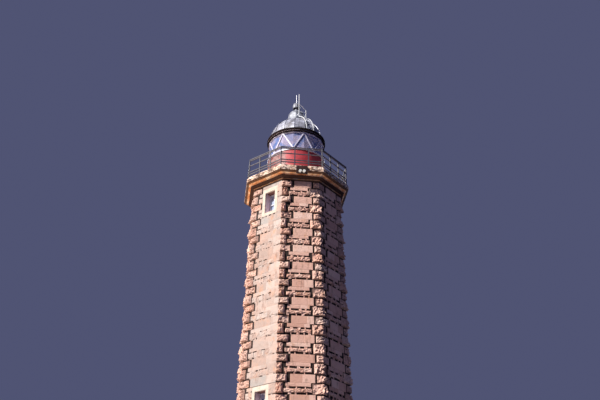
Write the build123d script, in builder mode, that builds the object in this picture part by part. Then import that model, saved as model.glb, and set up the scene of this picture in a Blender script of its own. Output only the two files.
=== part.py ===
from build123d import *
import math
import os

os.makedirs("parts", exist_ok=True)

# An eight-sided stone lighthouse, in millimetres. It stands on the ground at z = 0
# with its axis on Z and its front face, the one with the door, towards -Y.

# Sides, named by turning from the front towards +X
SIDE_NAMES = [
    "front", "front_right", "right", "back_right", "back", "back_left", "left", "front_left",
]
SIDES = len(SIDE_NAMES)
SIDE_TURN = 360 / SIDES
HALF_TURN = SIDE_TURN / 2
DOOR_SIDE = SIDE_NAMES.index("front")
WINDOW_SIDES = [DOOR_SIDE, SIDE_NAMES.index("back")]
LAMP_SIDE = SIDE_NAMES.index("front_right")
LANTERN_DOOR_SIDE = SIDE_NAMES.index("back")

# Shaft: distance from the axis to the middle of a face
wall_foot_apothem = 2930
wall_top_apothem = 2290
shaft_height = 22950
stairwell_apothem = 1650
plinth_height = 1050
plinth_projection = 220
plinth_slope_height = 150
plinth_lip = 12
floor_thickness = 150

# Windows and the door, each in a dressed stone surround
window_width = 660
window_height = 1240
window_offset = 140
upper_head_drop = 410
lower_sill_height = 10540
surround_width = 170
lintel_height = 230
sill_height = 180
surround_projection = 35
reveal_depth = 350
reveal_clearance = 100
surround_depth = 450
frame_bar = 60
transom_bar = 42
frame_depth = 60
glass_thickness = 12
door_width = 1000
door_height = 2150
door_thickness = 60
door_frame_bar = 80
door_frame_depth = 110
door_panel_recess = 15
door_panel_margin = 140

# Cornice and gallery
roll_height = 150
roll_projection = 85
roll_lip = 60
cove_rise = 60
cove_radius = 240
ridge_projection = 261
ridge_height = 90
crown_rise = 110
crown_cove_radius = 260
fascia_setback = 40
deck_thickness = 340
deck_overhang = 415
deck_bevel = 85
deck_lip_height = 160
railing_inset = 30
railing_height = 1150
railing_post = 60
railing_rail = 45
bays_per_side = 3
rail_heights = [180, 330, 720, 1040]

# Lantern
drum_radius = 1600
drum_wall = 60
drum_height = 1750
lantern_door_width = 700
lantern_door_height = 1500
lantern_door_sill = 120
lantern_door_thickness = 35
lantern_door_setback = 15
sill_ring_height = 100
sill_ring_overhang = 40
sill_ring_lip = 15
sill_ring_chamfer = 20
glazing_height = 1130
glazing_bays = 8
glazing_turn = 10
glazing_bar_width = 60
glazing_bar_depth = 45
glazing_ring_height = 60
glazing_setback = 30
glass_clearance = 2
gutter_base_height = 73
gutter_groove_height = 44
gutter_rim_height = 103
gutter_projection = 180
gutter_step = 30
gutter_ledge = 20
dome_setback = 100
dome_wall = 50
dome_gores = 16
dome_rows = 9
seam_height = 25
seam_width = 40
seam_end_gap = 25
hood_radius = 490
hood_wall = 35
hood_drum_height = 420
hood_brim = 40
hood_rows = 6
lens_radius = 560
lens_height = 1180
lens_rings = 9
lens_sides = 16
lens_ring_depth = 50
lens_waist = 130
lens_crown_radius = 340
lens_drop = 60
pedestal_radius = 300
pedestal_foot_radius = 420
pedestal_foot_height = 120

# Ventilator, rods and ladder on the roof
vent_neck_radius = 110
vent_neck_wall = 25
vent_neck_height = 150
vent_cap_radius = 220
vent_cap_skirt = 200
vent_cap_wall = 20
vent_cap_gores = 12
vent_cap_rows = 4
vent_stem_radius = 40
vent_cap_gap = 50
vent_spider_bar = 20
vent_spider_depth = 30
vent_spider_drop = 20
rod_radius = 18
rod_height = 620
ladder_azimuth = 68
ladder_width = 460
ladder_stile = 40
ladder_rung_radius = 12
ladder_rung_sides = 8
ladder_standoff = 90
ladder_hood_gap = 230
ladder_bend_radius = 180
ladder_rung_step = 240
ladder_head = 210
ladder_grip = 1000
ladder_stay_rise = 320
ladder_stay_radius = 15
ladder_lug = 25
ladder_lug_bite = 12
ladder_lug_angles = [18, 45]
ladder_hood_lug_height = 250

# Twin lamps on the front of the gallery
lamp_radius = 75
lamp_spacing = 205
lamp_length = 100
lamp_rise = 100
lamp_box_width = 600
lamp_box_height = 460
lamp_box_depth = 90
lamp_box_corner = 30
lamp_box_drop = 120

# Distances and levels worked out from the sizes above
plinth_apothem = wall_foot_apothem + plinth_projection
deck_apothem = wall_top_apothem + deck_overhang
deck_lip_apothem = deck_apothem + deck_bevel
railing_apothem = deck_apothem - railing_inset
upper_sill_height = shaft_height - upper_head_drop - window_height
cornice_height = roll_height + cove_rise + ridge_height + crown_rise
cornice_top = shaft_height + cornice_height
deck_top = cornice_top + deck_thickness
drum_top = deck_top + drum_height
glazing_bar_radius = drum_radius - glazing_setback
dome_radius = drum_radius - dome_setback
gutter_radius = dome_radius + gutter_projection
glazing_base = drum_top + sill_ring_height
glazing_top = glazing_base + glazing_height
gutter_top = glazing_top + gutter_base_height + gutter_groove_height + gutter_rim_height
batter = math.degrees(math.atan((wall_foot_apothem - wall_top_apothem) / shaft_height))
window_zones = [
    (sill - sill_height, sill + window_height + lintel_height)
    for sill in (lower_sill_height, upper_sill_height)
]
door_sill = floor_thickness
door_head = door_sill + door_height
door_zone = (0, door_head + lintel_height)


def wall_apothem(z):
    """Distance from the axis to the middle of a battered face at height z."""
    return wall_foot_apothem - (wall_foot_apothem - wall_top_apothem) * z / shaft_height


def side_plane(side, distance=0, z=0):
    """Plane facing out of one side: x to the right seen from outside, y up."""
    turn = math.radians(side * SIDE_TURN)
    out = Vector(math.sin(turn), -math.cos(turn), 0)
    right = Vector(math.cos(turn), math.sin(turn), 0)
    return Plane(origin=out * distance + Vector(0, 0, z), x_dir=right, z_dir=out)


def octagon(apothem):
    """Octagon with a flat side towards each named side."""
    RegularPolygon(apothem, SIDES, major_radius=False, rotation=HALF_TURN)


def save(part, name):
    part.label = name
    export_step(part, f"parts/{name}.step")


def wedge(side, reach, height):
    """Keeps the slice of the current part that belongs to one side."""
    plane = Plane(origin=(0, 0, 0), x_dir=side_plane(side).x_dir, z_dir=(0, 0, 1))
    spread = reach * math.tan(math.radians(HALF_TURN))
    with BuildSketch(plane) as slice_plan:
        with BuildLine():
            Polyline((0, 0), (spread, -reach), (-spread, -reach), close=True)
        make_face()
    extrude(slice_plan.sketch, amount=height, mode=Mode.INTERSECT)


def battered_ring():
    """Solid ring of wall between the stairwell and the battered outside."""
    with BuildSketch() as outside:
        octagon(wall_foot_apothem)
    extrude(outside.sketch, amount=shaft_height, taper=batter)
    with BuildSketch() as inside:
        octagon(stairwell_apothem)
    extrude(inside.sketch, amount=shaft_height, mode=Mode.SUBTRACT)


def slab(zone, reach=2 * wall_foot_apothem):
    """Level slice of everything between two heights."""
    with BuildSketch(Plane.XY.offset(zone[0])) as plan:
        Rectangle(reach, reach)
    extrude(plan.sketch, amount=zone[1] - zone[0], mode=Mode.INTERSECT)


def pocket(side, width, low, high, offset=0, near=stairwell_apothem, far=None, mode=Mode.SUBTRACT):
    """Straight hole through one side, from the near to the far distance."""
    far = far or plinth_apothem + surround_projection
    with BuildSketch(side_plane(side, distance=near)) as mouth:
        with Locations((offset, (low + high) / 2)):
            Rectangle(width, high - low)
    extrude(mouth.sketch, amount=far - near, mode=mode)


def zones_of(side):
    """Heights where a side is built of piers beside an opening."""
    zones = list(window_zones) if side in WINDOW_SIDES else []
    if side == DOOR_SIDE:
        zones.insert(0, door_zone)
    return zones


reach = 2 * wall_foot_apothem
near_reveal = stairwell_apothem - reveal_clearance

# Walls: eight battered faces, mitred at the corners
for side, side_name in enumerate(SIDE_NAMES):
    with BuildPart() as wall:
        battered_ring()
        wedge(side, reach, shaft_height)
        for low, high in zones_of(side):
            with BuildSketch(Plane.XY.offset(low)):
                Rectangle(2 * reach, 2 * reach)
            extrude(amount=high - low, mode=Mode.SUBTRACT)
    save(wall.part, f"{side_name}_wall")

# Piers of masonry to the left and right of each opening
for side in WINDOW_SIDES:
    piers = []
    for low, high in zones_of(side):
        at_door = low == door_zone[0] and side == DOOR_SIDE
        clear = (door_width if at_door else window_width) + 2 * surround_width
        with BuildPart() as pier_pair:
            battered_ring()
            wedge(side, reach, shaft_height)
            slab((low, high))
            pocket(side, clear, low, high, 0 if at_door else window_offset, near_reveal)
        piers.extend(pier_pair.part.solids())
    save(Compound(children=piers), f"{SIDE_NAMES[side]}_wall_piers")

# Plinth around the foot of the walls, open at the doorway
with BuildPart() as plinth:
    with BuildSketch():
        octagon(plinth_apothem)
    extrude(amount=plinth_height)
    with BuildSketch(Plane.XY.offset(plinth_height)):
        octagon(plinth_apothem)
    slope_run = plinth_apothem - wall_apothem(plinth_height + plinth_slope_height) - plinth_lip
    extrude(
        amount=plinth_slope_height, taper=math.degrees(math.atan(slope_run / plinth_slope_height))
    )
    with BuildSketch():
        octagon(wall_foot_apothem)
    extrude(amount=shaft_height, taper=batter, mode=Mode.SUBTRACT)
    pocket(DOOR_SIDE, door_width + 2 * surround_width, 0, 2 * plinth_height, near=near_reveal)
save(plinth.part, "plinth")

# Floor inside the walls, and the stone step in the doorway
with BuildPart() as floor:
    with BuildSketch():
        octagon(stairwell_apothem)
    extrude(amount=floor_thickness)
save(floor.part, "ground_floor")

with BuildPart() as door_step:
    pocket(
        DOOR_SIDE, door_width + 2 * surround_width, 0, floor_thickness,
        near=stairwell_apothem, far=plinth_apothem, mode=Mode.ADD,
    )
save(door_step.part, "door_step")


def surround(side, width, low, high, bottom, offset):
    """Stone frame through the outer part of the wall, with its face on the batter."""
    with BuildPart() as stones:
        with BuildSketch():
            octagon(wall_foot_apothem + surround_projection)
        extrude(amount=shaft_height, taper=batter)
        middle = wall_apothem((low + high) / 2)
        pocket(
            side, width + 2 * surround_width, bottom, high + lintel_height, offset,
            near=middle - surround_depth, mode=Mode.INTERSECT,
        )
        pocket(side, width, low, high, offset, near=near_reveal)
    return stones.part


# Window surrounds, frames and glass
surrounds, frames, panes = [], [], []
for side in WINDOW_SIDES:
    for sill in (lower_sill_height, upper_sill_height):
        head = sill + window_height
        surrounds.append(
            surround(side, window_width, sill, head, sill - sill_height, window_offset)
        )
        frame_face = wall_apothem((sill + head) / 2) - reveal_depth
        window_plane = side_plane(side, frame_face - frame_depth, (sill + head) / 2)
        with BuildPart() as frame:
            with BuildSketch(window_plane):
                with Locations((window_offset, 0)):
                    Rectangle(window_width, window_height)
                    Rectangle(
                        window_width - 2 * frame_bar, window_height - 2 * frame_bar,
                        mode=Mode.SUBTRACT,
                    )
                    Rectangle(frame_bar, window_height)
                    Rectangle(window_width, transom_bar)
            extrude(amount=frame_depth)
        frames.append(frame.part)
        with BuildPart() as pane:
            with BuildSketch(window_plane.offset(-glass_thickness)):
                with Locations((window_offset, 0)):
                    Rectangle(window_width, window_height)
            extrude(amount=glass_thickness)
        panes.append(pane.part)
save(Compound(children=surrounds), "window_surrounds")
save(Compound(children=frames), "window_frames")
save(Compound(children=panes), "window_glass")

# Door surround, frame and leaf
door_stones = surround(DOOR_SIDE, door_width, door_sill, door_head, floor_thickness, 0)
save(door_stones, "door_surround")
door_face = wall_apothem(door_head / 2) - reveal_depth
door_middle = (door_sill + door_head) / 2
door_plane = side_plane(DOOR_SIDE, door_face - door_frame_depth, door_middle)
with BuildPart() as door_frame:
    with BuildSketch(door_plane):
        Rectangle(door_width, door_height)
        with Locations((0, -door_frame_bar / 2)):
            Rectangle(
                door_width - 2 * door_frame_bar, door_height - door_frame_bar,
                mode=Mode.SUBTRACT,
            )
    extrude(amount=door_frame_depth)
save(door_frame.part, "door_frame")
with BuildPart() as door:
    leaf_width = door_width - 2 * door_frame_bar
    leaf_height = door_height - door_frame_bar
    leaf_plane = side_plane(DOOR_SIDE, door_face - door_frame_depth / 2, door_middle)
    with BuildSketch(leaf_plane):
        with Locations((0, -door_frame_bar / 2)):
            Rectangle(leaf_width, leaf_height)
    extrude(amount=-door_thickness)
    with BuildSketch(leaf_plane):
        panel_height = (leaf_height - 3 * door_panel_margin) / 2
        with Locations((0, -door_frame_bar / 2)):
            with GridLocations(0, panel_height + door_panel_margin, 1, 2):
                Rectangle(leaf_width - 2 * door_panel_margin, panel_height)
    extrude(amount=-door_panel_recess, mode=Mode.SUBTRACT)
save(door.part, "entrance_door")

# Moulded cornice: the profile runs through each pair of opposite sides, and the part that
# all four runs share is the eight-sided moulding with true mitres
with BuildPart() as cornice:
    roll_top = (wall_top_apothem + roll_lip, shaft_height + roll_height)
    ridge_low = (wall_top_apothem + ridge_projection, roll_top[1] + cove_rise)
    ridge_top = (ridge_low[0], ridge_low[1] + ridge_height)
    fascia_foot = (deck_lip_apothem - fascia_setback, cornice_top)
    for run in range(SIDES // 2):
        with BuildSketch(side_plane(run)):
            with BuildLine():
                Line((0, shaft_height), (wall_top_apothem, shaft_height))
                ThreePointArc(
                    (wall_top_apothem, shaft_height),
                    (wall_top_apothem + roll_projection, shaft_height + roll_height / 2),
                    roll_top,
                )
                RadiusArc(roll_top, ridge_low, -cove_radius)
                Line(ridge_low, ridge_top)
                RadiusArc(ridge_top, fascia_foot, -crown_cove_radius)
                Polyline(fascia_foot, (0, cornice_top), (0, shaft_height))
            make_face()
            mirror(about=Plane.YZ)
        extrude(
            amount=deck_lip_apothem, both=True, mode=Mode.ADD if run == 0 else Mode.INTERSECT
        )
    with BuildSketch(Plane.XY.offset(shaft_height)):
        octagon(stairwell_apothem)
    extrude(amount=cornice_height, mode=Mode.SUBTRACT)
save(cornice.part, "cornice")

# Gallery deck, which also floors the lantern: a square lip below and a long bevel above
with BuildPart() as deck:
    with BuildSketch(Plane.XY.offset(cornice_top)):
        octagon(deck_lip_apothem)
    extrude(amount=deck_lip_height)
    bevel_height = deck_thickness - deck_lip_height
    with BuildSketch(Plane.XY.offset(deck_top - bevel_height)):
        octagon(deck_lip_apothem)
    extrude(amount=bevel_height, taper=math.degrees(math.atan(deck_bevel / bevel_height)))
save(deck.part, "gallery_deck")

# Railing: one panel a side between the corner posts
side_length = 2 * railing_apothem * math.tan(math.radians(HALF_TURN))
corner_radius = railing_apothem / math.cos(math.radians(HALF_TURN))
panel_length = side_length - railing_post
for side, side_name in enumerate(SIDE_NAMES):
    with BuildPart() as panel:
        plane = side_plane(side, railing_apothem - railing_rail / 2, deck_top)
        with BuildSketch(plane):
            with Locations((0, railing_height - railing_rail / 2)):
                Rectangle(panel_length, railing_rail)
            for rail_height in rail_heights:
                with Locations((0, rail_height)):
                    Rectangle(panel_length, railing_rail)
            with Locations((0, railing_height / 2)):
                with GridLocations(side_length / bays_per_side, 0, bays_per_side - 1, 1):
                    Rectangle(railing_post, railing_height)
        extrude(amount=railing_rail)
    save(panel.part, f"{side_name}_railing")

posts = []
for side in range(SIDES):
    turn = math.radians((side + 0.5) * SIDE_TURN)
    with BuildPart() as post:
        post_plane = Plane(
            origin=(corner_radius * math.sin(turn), -corner_radius * math.cos(turn), deck_top),
            x_dir=(math.cos(turn), math.sin(turn), 0),
            z_dir=(0, 0, 1),
        )
        with BuildSketch(post_plane):
            RegularPolygon(railing_post / 2, SIDES, major_radius=False)
        extrude(amount=railing_height)
    posts.append(post.part)
save(Compound(children=posts), "railing_corner_posts")


def ring(outer, inner, bottom, height, mode=Mode.ADD):
    """Round ring on the tower's axis."""
    with BuildSketch(Plane.XY.offset(bottom)) as plan:
        Circle(outer)
        Circle(inner, mode=Mode.SUBTRACT)
    extrude(plan.sketch, amount=height, mode=mode)


# Red drum of the lantern, with the low door that leads out to the gallery at the back
drum_inner = drum_radius - drum_wall
with BuildPart() as drum:
    ring(drum_radius, drum_inner, deck_top, drum_height)
    pocket(
        LANTERN_DOOR_SIDE, lantern_door_width, deck_top + lantern_door_sill,
        deck_top + lantern_door_sill + lantern_door_height, near=drum_inner / 2, far=2 * drum_radius,
    )
save(drum.part, "lantern_drum")

with BuildPart() as lantern_door:
    door_outer = drum_radius - lantern_door_setback
    ring(door_outer, door_outer - lantern_door_thickness, deck_top, drum_height)
    pocket(
        LANTERN_DOOR_SIDE, lantern_door_width, deck_top + lantern_door_sill,
        deck_top + lantern_door_sill + lantern_door_height, near=drum_inner / 2, far=2 * drum_radius,
        mode=Mode.INTERSECT,
    )
save(lantern_door.part, "lantern_door")

# Sill ring that carries the glazing. The glazing has a flat side for each half bay, with its
# corners at the joints of the zigzag, so that each straight bar lies on one flat pane.
glazing_sides = 2 * glazing_bays
bar_apothem = glazing_bar_radius * math.cos(math.radians(180 / glazing_sides))
bar_inner = bar_apothem - glazing_bar_depth / 2
bar_outer = bar_apothem + glazing_bar_depth / 2
glass_outer = bar_inner - glass_clearance
glass_inner = glass_outer - glass_thickness
with BuildPart() as sill_ring:
    ring(drum_radius + sill_ring_overhang, glass_inner - sill_ring_lip, drum_top, sill_ring_height)
    outer_rims = sill_ring.edges().filter_by(GeomType.CIRCLE).sort_by(Edge.radius)[-2:]
    chamfer(outer_rims.sort_by(Axis.Z)[-1], sill_ring_chamfer)
save(sill_ring.part, "lantern_sill")


def glazing_ring(outer, inner, bottom, height):
    """Flat-sided ring of the glazing, given by its distances from the axis to a side."""
    with BuildSketch(Plane.XY.offset(bottom)) as plan:
        for apothem, mode in ((outer, Mode.ADD), (inner, Mode.SUBTRACT)):
            RegularPolygon(
                apothem, glazing_sides, major_radius=False, rotation=glazing_turn - 90, mode=mode
            )
    extrude(plan.sketch, amount=height)


def glazing_node(step, z):
    """Corner of the glazing, counted from the first upper joint."""
    turn = math.radians(glazing_turn + step * 360 / glazing_sides)
    return Vector(
        glazing_bar_radius * math.sin(turn), -glazing_bar_radius * math.cos(turn), z
    )


# Glazing bars: one zigzag of straight bars between a lower and an upper ring
with BuildPart() as bars:
    glazing_ring(bar_outer, bar_inner, glazing_base, glazing_ring_height)
    glazing_ring(bar_outer, bar_inner, glazing_top - glazing_ring_height, glazing_ring_height)
    low_joint = glazing_base + glazing_ring_height / 2
    high_joint = glazing_top - glazing_ring_height / 2
    for bay in range(glazing_bays):
        for lean in (-1, 1):
            top = glazing_node(2 * bay, high_joint)
            foot = glazing_node(2 * bay + lean, low_joint)
            middle = (top + foot) / 2
            run = foot - top
            across = Vector(middle.X, middle.Y, 0)
            with BuildSketch(Plane(origin=top, x_dir=across, z_dir=run)):
                Rectangle(glazing_bar_depth, glazing_bar_width)
            extrude(amount=run.length)
save(bars.part, "glazing_bars")

with BuildPart() as glass:
    glazing_ring(glass_outer, glass_inner, glazing_base, glazing_height)
save(glass.part, "lantern_glass")

# Gutter ring with a groove between its base and its rim
with BuildPart() as gutter:
    with BuildSketch(Plane.XZ):
        with BuildLine():
            base_top = glazing_top + gutter_base_height
            rim_foot = base_top + gutter_groove_height
            Polyline(
                (dome_radius - dome_wall - gutter_ledge, glazing_top),
                (gutter_radius - gutter_step, glazing_top),
                (gutter_radius - gutter_step, base_top),
                (gutter_radius - 2 * gutter_step, base_top),
                (gutter_radius - 2 * gutter_step, rim_foot),
                (gutter_radius, rim_foot),
                (gutter_radius, gutter_top),
                (dome_radius - dome_wall - gutter_ledge, gutter_top),
                close=True,
            )
        make_face()
    revolve(axis=Axis.Z)
save(gutter.part, "gutter_ring")


def gore(outline, count, spread):
    """One gore of a shell: the profile run sideways, cut on two radial planes."""
    half = math.tan(math.radians(180 / count))
    bottom = outline.bounding_box().min.Z
    with BuildPart() as sheet:
        with BuildSketch(Plane.XZ):
            make_face(outline)
        extrude(amount=spread * half, both=True)
        with BuildSketch(Plane.XY.offset(bottom)):
            with BuildLine():
                Polyline((0, 0), (spread, -spread * half), (spread, spread * half), close=True)
            make_face()
        extrude(amount=outline.bounding_box().size.Z, mode=Mode.INTERSECT)
    return sheet.part


def sphere_height(radius, reach):
    """Height of a sphere's surface above its centre at a distance from the axis."""
    return math.sqrt(radius**2 - reach**2)


def plate_rows(radius, base, top_angle, rows):
    """Points up a sphere's profile, where one row of plates meets the next."""
    angles = [row * top_angle / rows for row in range(rows + 1)]
    return [(radius * math.cos(angle), base + radius * math.sin(angle)) for angle in angles]


def crowned(radius, wall, base, crown, lip, rows):
    """Profile of a shell of plates that ends at the crown in a level seat, open at its foot."""
    outside = plate_rows(radius, base, math.acos(crown / radius), rows)
    inside = plate_rows(radius - wall, base, math.acos((crown - lip) / (radius - wall)), rows)
    Polyline(*outside, (crown - lip, outside[-1][1]), *reversed(inside))


# Dome of plates in gores and rows, with a standing seam on each hip and a level seat for the hood
hood_rim = hood_radius + hood_brim
hip_stretch = 1 / math.cos(math.radians(180 / dome_gores))
with BuildLine(Plane.XZ) as dome_outline:
    crowned(dome_radius, dome_wall, gutter_top, hood_rim, hood_brim + hood_wall, dome_rows)
    Line((dome_radius - dome_wall, gutter_top), (dome_radius, gutter_top))
dome_gore = gore(dome_outline.line, dome_gores, 2 * dome_radius)
with BuildPart() as dome:
    with PolarLocations(0, dome_gores):
        add(dome_gore)
    hip_angle = math.acos(hood_rim / dome_radius)
    seam_top = plate_rows(dome_radius + seam_height, 0, hip_angle, dome_rows)
    seam_root = plate_rows(dome_radius - dome_wall / 2, 0, hip_angle, dome_rows)
    seam_stop = hood_rim * hip_stretch + seam_end_gap
    for seam in range(dome_gores):
        turn = math.radians((seam + 0.5) * 360 / dome_gores)
        seam_plane = Plane(
            origin=(0, 0, gutter_top), x_dir=(math.cos(turn), math.sin(turn), 0),
            z_dir=(math.sin(turn), -math.cos(turn), 0),
        )
        with BuildSketch(seam_plane):
            with BuildLine():
                Polyline(
                    *((reach * hip_stretch, rise) for reach, rise in seam_top + seam_root[::-1]),
                    close=True,
                )
            make_face()
            with Locations((seam_stop, 0)):
                Rectangle(dome_radius, 2 * dome_radius, align=(Align.MIN, Align.MIN), mode=Mode.INTERSECT)
        extrude(amount=seam_width / 2, both=True)
save(dome.part, "dome")

# Hood on the dome's seat: a brim, a short drum and a small cap, in gores like the dome
hood_foot = gutter_top + sphere_height(dome_radius, hood_rim)
hood_shoulder = hood_foot + hood_drum_height
hood_seat = hood_shoulder + sphere_height(hood_radius, vent_neck_radius)
with BuildLine(Plane.XZ) as hood_outline:
    crowned(
        hood_radius, hood_wall, hood_shoulder, vent_neck_radius, vent_neck_wall, hood_rows
    )
    Polyline(
        (hood_radius - hood_wall, hood_shoulder),
        (hood_radius - hood_wall, hood_foot),
        (hood_rim, hood_foot),
        (hood_rim, hood_foot + hood_brim),
        (hood_radius, hood_foot + hood_brim),
        (hood_radius, hood_shoulder),
    )
hood_gore = gore(hood_outline.line, dome_gores, 2 * hood_radius)
with BuildPart() as hood:
    with PolarLocations(0, dome_gores):
        add(hood_gore)
save(hood.part, "dome_hood")

# Ventilator: a neck on the hood, and a round cap over it on a stem held by a cross
neck_top = hood_seat + vent_neck_height
cap_base = neck_top + vent_cap_gap
cap_shoulder = cap_base + vent_cap_skirt
cap_top = cap_shoulder + sphere_height(vent_cap_radius, vent_stem_radius)
with BuildLine(Plane.XZ) as cap_outline:
    crowned(
        vent_cap_radius, vent_cap_wall, cap_shoulder, vent_stem_radius, vent_stem_radius / 2,
        vent_cap_rows,
    )
    Polyline(
        (vent_cap_radius - vent_cap_wall, cap_shoulder),
        (vent_cap_radius - vent_cap_wall, cap_base),
        (vent_cap_radius, cap_base),
        (vent_cap_radius, cap_shoulder),
    )
cap_gore = gore(cap_outline.line, vent_cap_gores, 2 * vent_cap_radius)
with BuildPart() as ventilator:
    with PolarLocations(0, vent_cap_gores):
        add(cap_gore)
    ring(vent_neck_radius, vent_neck_radius - vent_neck_wall, hood_seat, vent_neck_height)
    spider_foot = neck_top - vent_spider_drop - vent_spider_depth
    with BuildSketch(Plane.XY.offset(spider_foot)):
        Circle(vent_stem_radius)
    extrude(amount=cap_top - spider_foot)
    with BuildSketch(Plane.XY.offset(spider_foot)):
        spider_reach = 2 * vent_neck_radius - vent_neck_wall
        Rectangle(spider_reach, vent_spider_bar)
        Rectangle(vent_spider_bar, spider_reach)
    extrude(amount=vent_spider_depth)
save(ventilator.part, "ventilator")

with BuildPart() as rod:
    with BuildSketch(Plane.XY.offset(cap_top)):
        Circle(rod_radius)
    extrude(amount=rod_height)
save(rod.part, "lightning_rod")

# Roof ladder: two square stiles that rise from the gutter over the dome, turn up beside the
# hood on a tangent bend, stand on lugs scribed to the dome and the hood, and carry the rungs
ladder_turn = math.radians(ladder_azimuth)
ladder_out = Vector(math.sin(ladder_turn), -math.cos(ladder_turn), 0)
ladder_side = Vector(math.cos(ladder_turn), math.sin(ladder_turn), 0)
ladder_arc = dome_radius + ladder_standoff
ladder_reach = hood_radius + ladder_hood_gap
bend_reach = ladder_reach + ladder_bend_radius
bend_height = gutter_top + math.sqrt((ladder_arc + ladder_bend_radius) ** 2 - bend_reach**2)
bend_angle = math.atan2(bend_height - gutter_top, bend_reach)
short_stile_top = hood_shoulder + ladder_head
long_stile_top = short_stile_top + ladder_grip
half_width = ladder_width / 2


def on_dome(angle):
    """Point of the stile's line over the dome, as distance from the axis and height."""
    return (ladder_arc * math.cos(angle), gutter_top + ladder_arc * math.sin(angle))


def on_bend(angle):
    """Point of the bend, turned back from its upper end by an angle."""
    return (
        bend_reach - ladder_bend_radius * math.cos(angle),
        bend_height - ladder_bend_radius * math.sin(angle),
    )


def stile_point(travelled):
    """Point at a length along the stile's line."""
    dome_run = ladder_arc * bend_angle
    bend_run = ladder_bend_radius * bend_angle
    if travelled < dome_run:
        return on_dome(travelled / ladder_arc)
    if travelled < dome_run + bend_run:
        return on_bend(bend_angle - (travelled - dome_run) / ladder_bend_radius)
    return (ladder_reach, bend_height + travelled - dome_run - bend_run)


def beside(reach_out, height, shift):
    """Point at a distance out along the ladder's plane, shifted to one stile."""
    return ladder_out * reach_out + ladder_side * (shift * half_width) + Vector(0, 0, height)


def lug(start, end):
    """Square lug from a stile to the roof."""
    with BuildSketch(Plane(origin=start, x_dir=ladder_side, z_dir=end - start)) as section:
        Rectangle(ladder_lug, ladder_lug)
    extrude(section.sketch, amount=(end - start).length)


with BuildPart() as ladder:
    lug_foot = math.sqrt(dome_radius**2 - half_width**2) - ladder_lug_bite
    hood_lug_foot = math.sqrt(hood_radius**2 - half_width**2) - ladder_lug_bite
    for shift, top in ((-1, long_stile_top), (1, short_stile_top)):
        stile_plane = Plane(
            origin=ladder_side * (shift * half_width), x_dir=ladder_out, z_dir=ladder_side * -1
        )
        with BuildLine(stile_plane) as stile:
            ThreePointArc(on_dome(0), on_dome(bend_angle / 2), on_dome(bend_angle))
            ThreePointArc(on_bend(bend_angle), on_bend(bend_angle / 2), on_bend(0))
            Line(on_bend(0), (ladder_reach, top))
        with BuildSketch(Plane(origin=stile.line @ 0, x_dir=ladder_out, z_dir=stile.line % 0)):
            Rectangle(ladder_stile, ladder_stile)
        sweep(path=stile.line)
        for lug_angle in ladder_lug_angles:
            rise = math.radians(lug_angle)
            foot = (lug_foot * math.cos(rise), gutter_top + lug_foot * math.sin(rise))
            lug(beside(*on_dome(rise), shift), beside(*foot, shift))
        lug_height = hood_foot + ladder_hood_lug_height
        lug(beside(ladder_reach, lug_height, shift), beside(hood_lug_foot, lug_height, shift))
    stile_run = (ladder_arc + ladder_bend_radius) * bend_angle + short_stile_top - bend_height
    for rung in range(1, int(stile_run / ladder_rung_step) + 1):
        left_end = beside(*stile_point(rung * ladder_rung_step), -1)
        with BuildSketch(Plane(origin=left_end, x_dir=(0, 0, 1), z_dir=ladder_side)):
            RegularPolygon(ladder_rung_radius, ladder_rung_sides)
        extrude(amount=ladder_width)
    stay_foot = beside(ladder_reach, short_stile_top - ladder_stay_radius, 1)
    stay_head = beside(ladder_reach, short_stile_top + ladder_stay_rise, -1)
    with BuildSketch(Plane(origin=stay_foot, x_dir=ladder_out, z_dir=stay_head - stay_foot)):
        RegularPolygon(ladder_stay_radius, ladder_rung_sides)
    extrude(amount=(stay_head - stay_foot).length)
    add(dome.part, mode=Mode.SUBTRACT)
    add(hood.part, mode=Mode.SUBTRACT)
save(ladder.part, "roof_ladder")

# Lens seen through the panes, on its pedestal
with BuildPart() as pedestal:
    with BuildSketch(Plane.XY.offset(deck_top)):
        RegularPolygon(pedestal_foot_radius, lens_sides)
    extrude(amount=pedestal_foot_height)
    with BuildSketch(Plane.XY.offset(deck_top + pedestal_foot_height)):
        RegularPolygon(pedestal_radius, lens_sides)
    lens_base = glazing_base - lens_drop
    extrude(amount=lens_base - deck_top - pedestal_foot_height - pedestal_foot_height)
    with BuildSketch(Plane.XY.offset(lens_base - pedestal_foot_height)):
        RegularPolygon(lens_radius, lens_sides)
    extrude(amount=pedestal_foot_height)
save(pedestal.part, "lens_pedestal")

ring_pitch = lens_height / lens_rings
lens_points = [(0, lens_base)]
for index in range(lens_rings):
    low = lens_base + index * ring_pitch
    from_middle = abs(2 * (index + 0.5) / lens_rings - 1)
    belly = lens_radius - lens_waist * from_middle**2
    lens_points += [(belly - lens_ring_depth, low), (belly, low + ring_pitch / 2)]
lens_points += [(lens_crown_radius, lens_base + lens_height), (0, lens_base + lens_height)]
with BuildLine(Plane.XZ) as lens_outline:
    Polyline(*lens_points, close=True)
lens_gore = gore(lens_outline.line, lens_sides, 2 * lens_radius)
with BuildPart() as lens:
    with PolarLocations(0, lens_sides):
        add(lens_gore)
save(lens.part, "lens")

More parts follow.
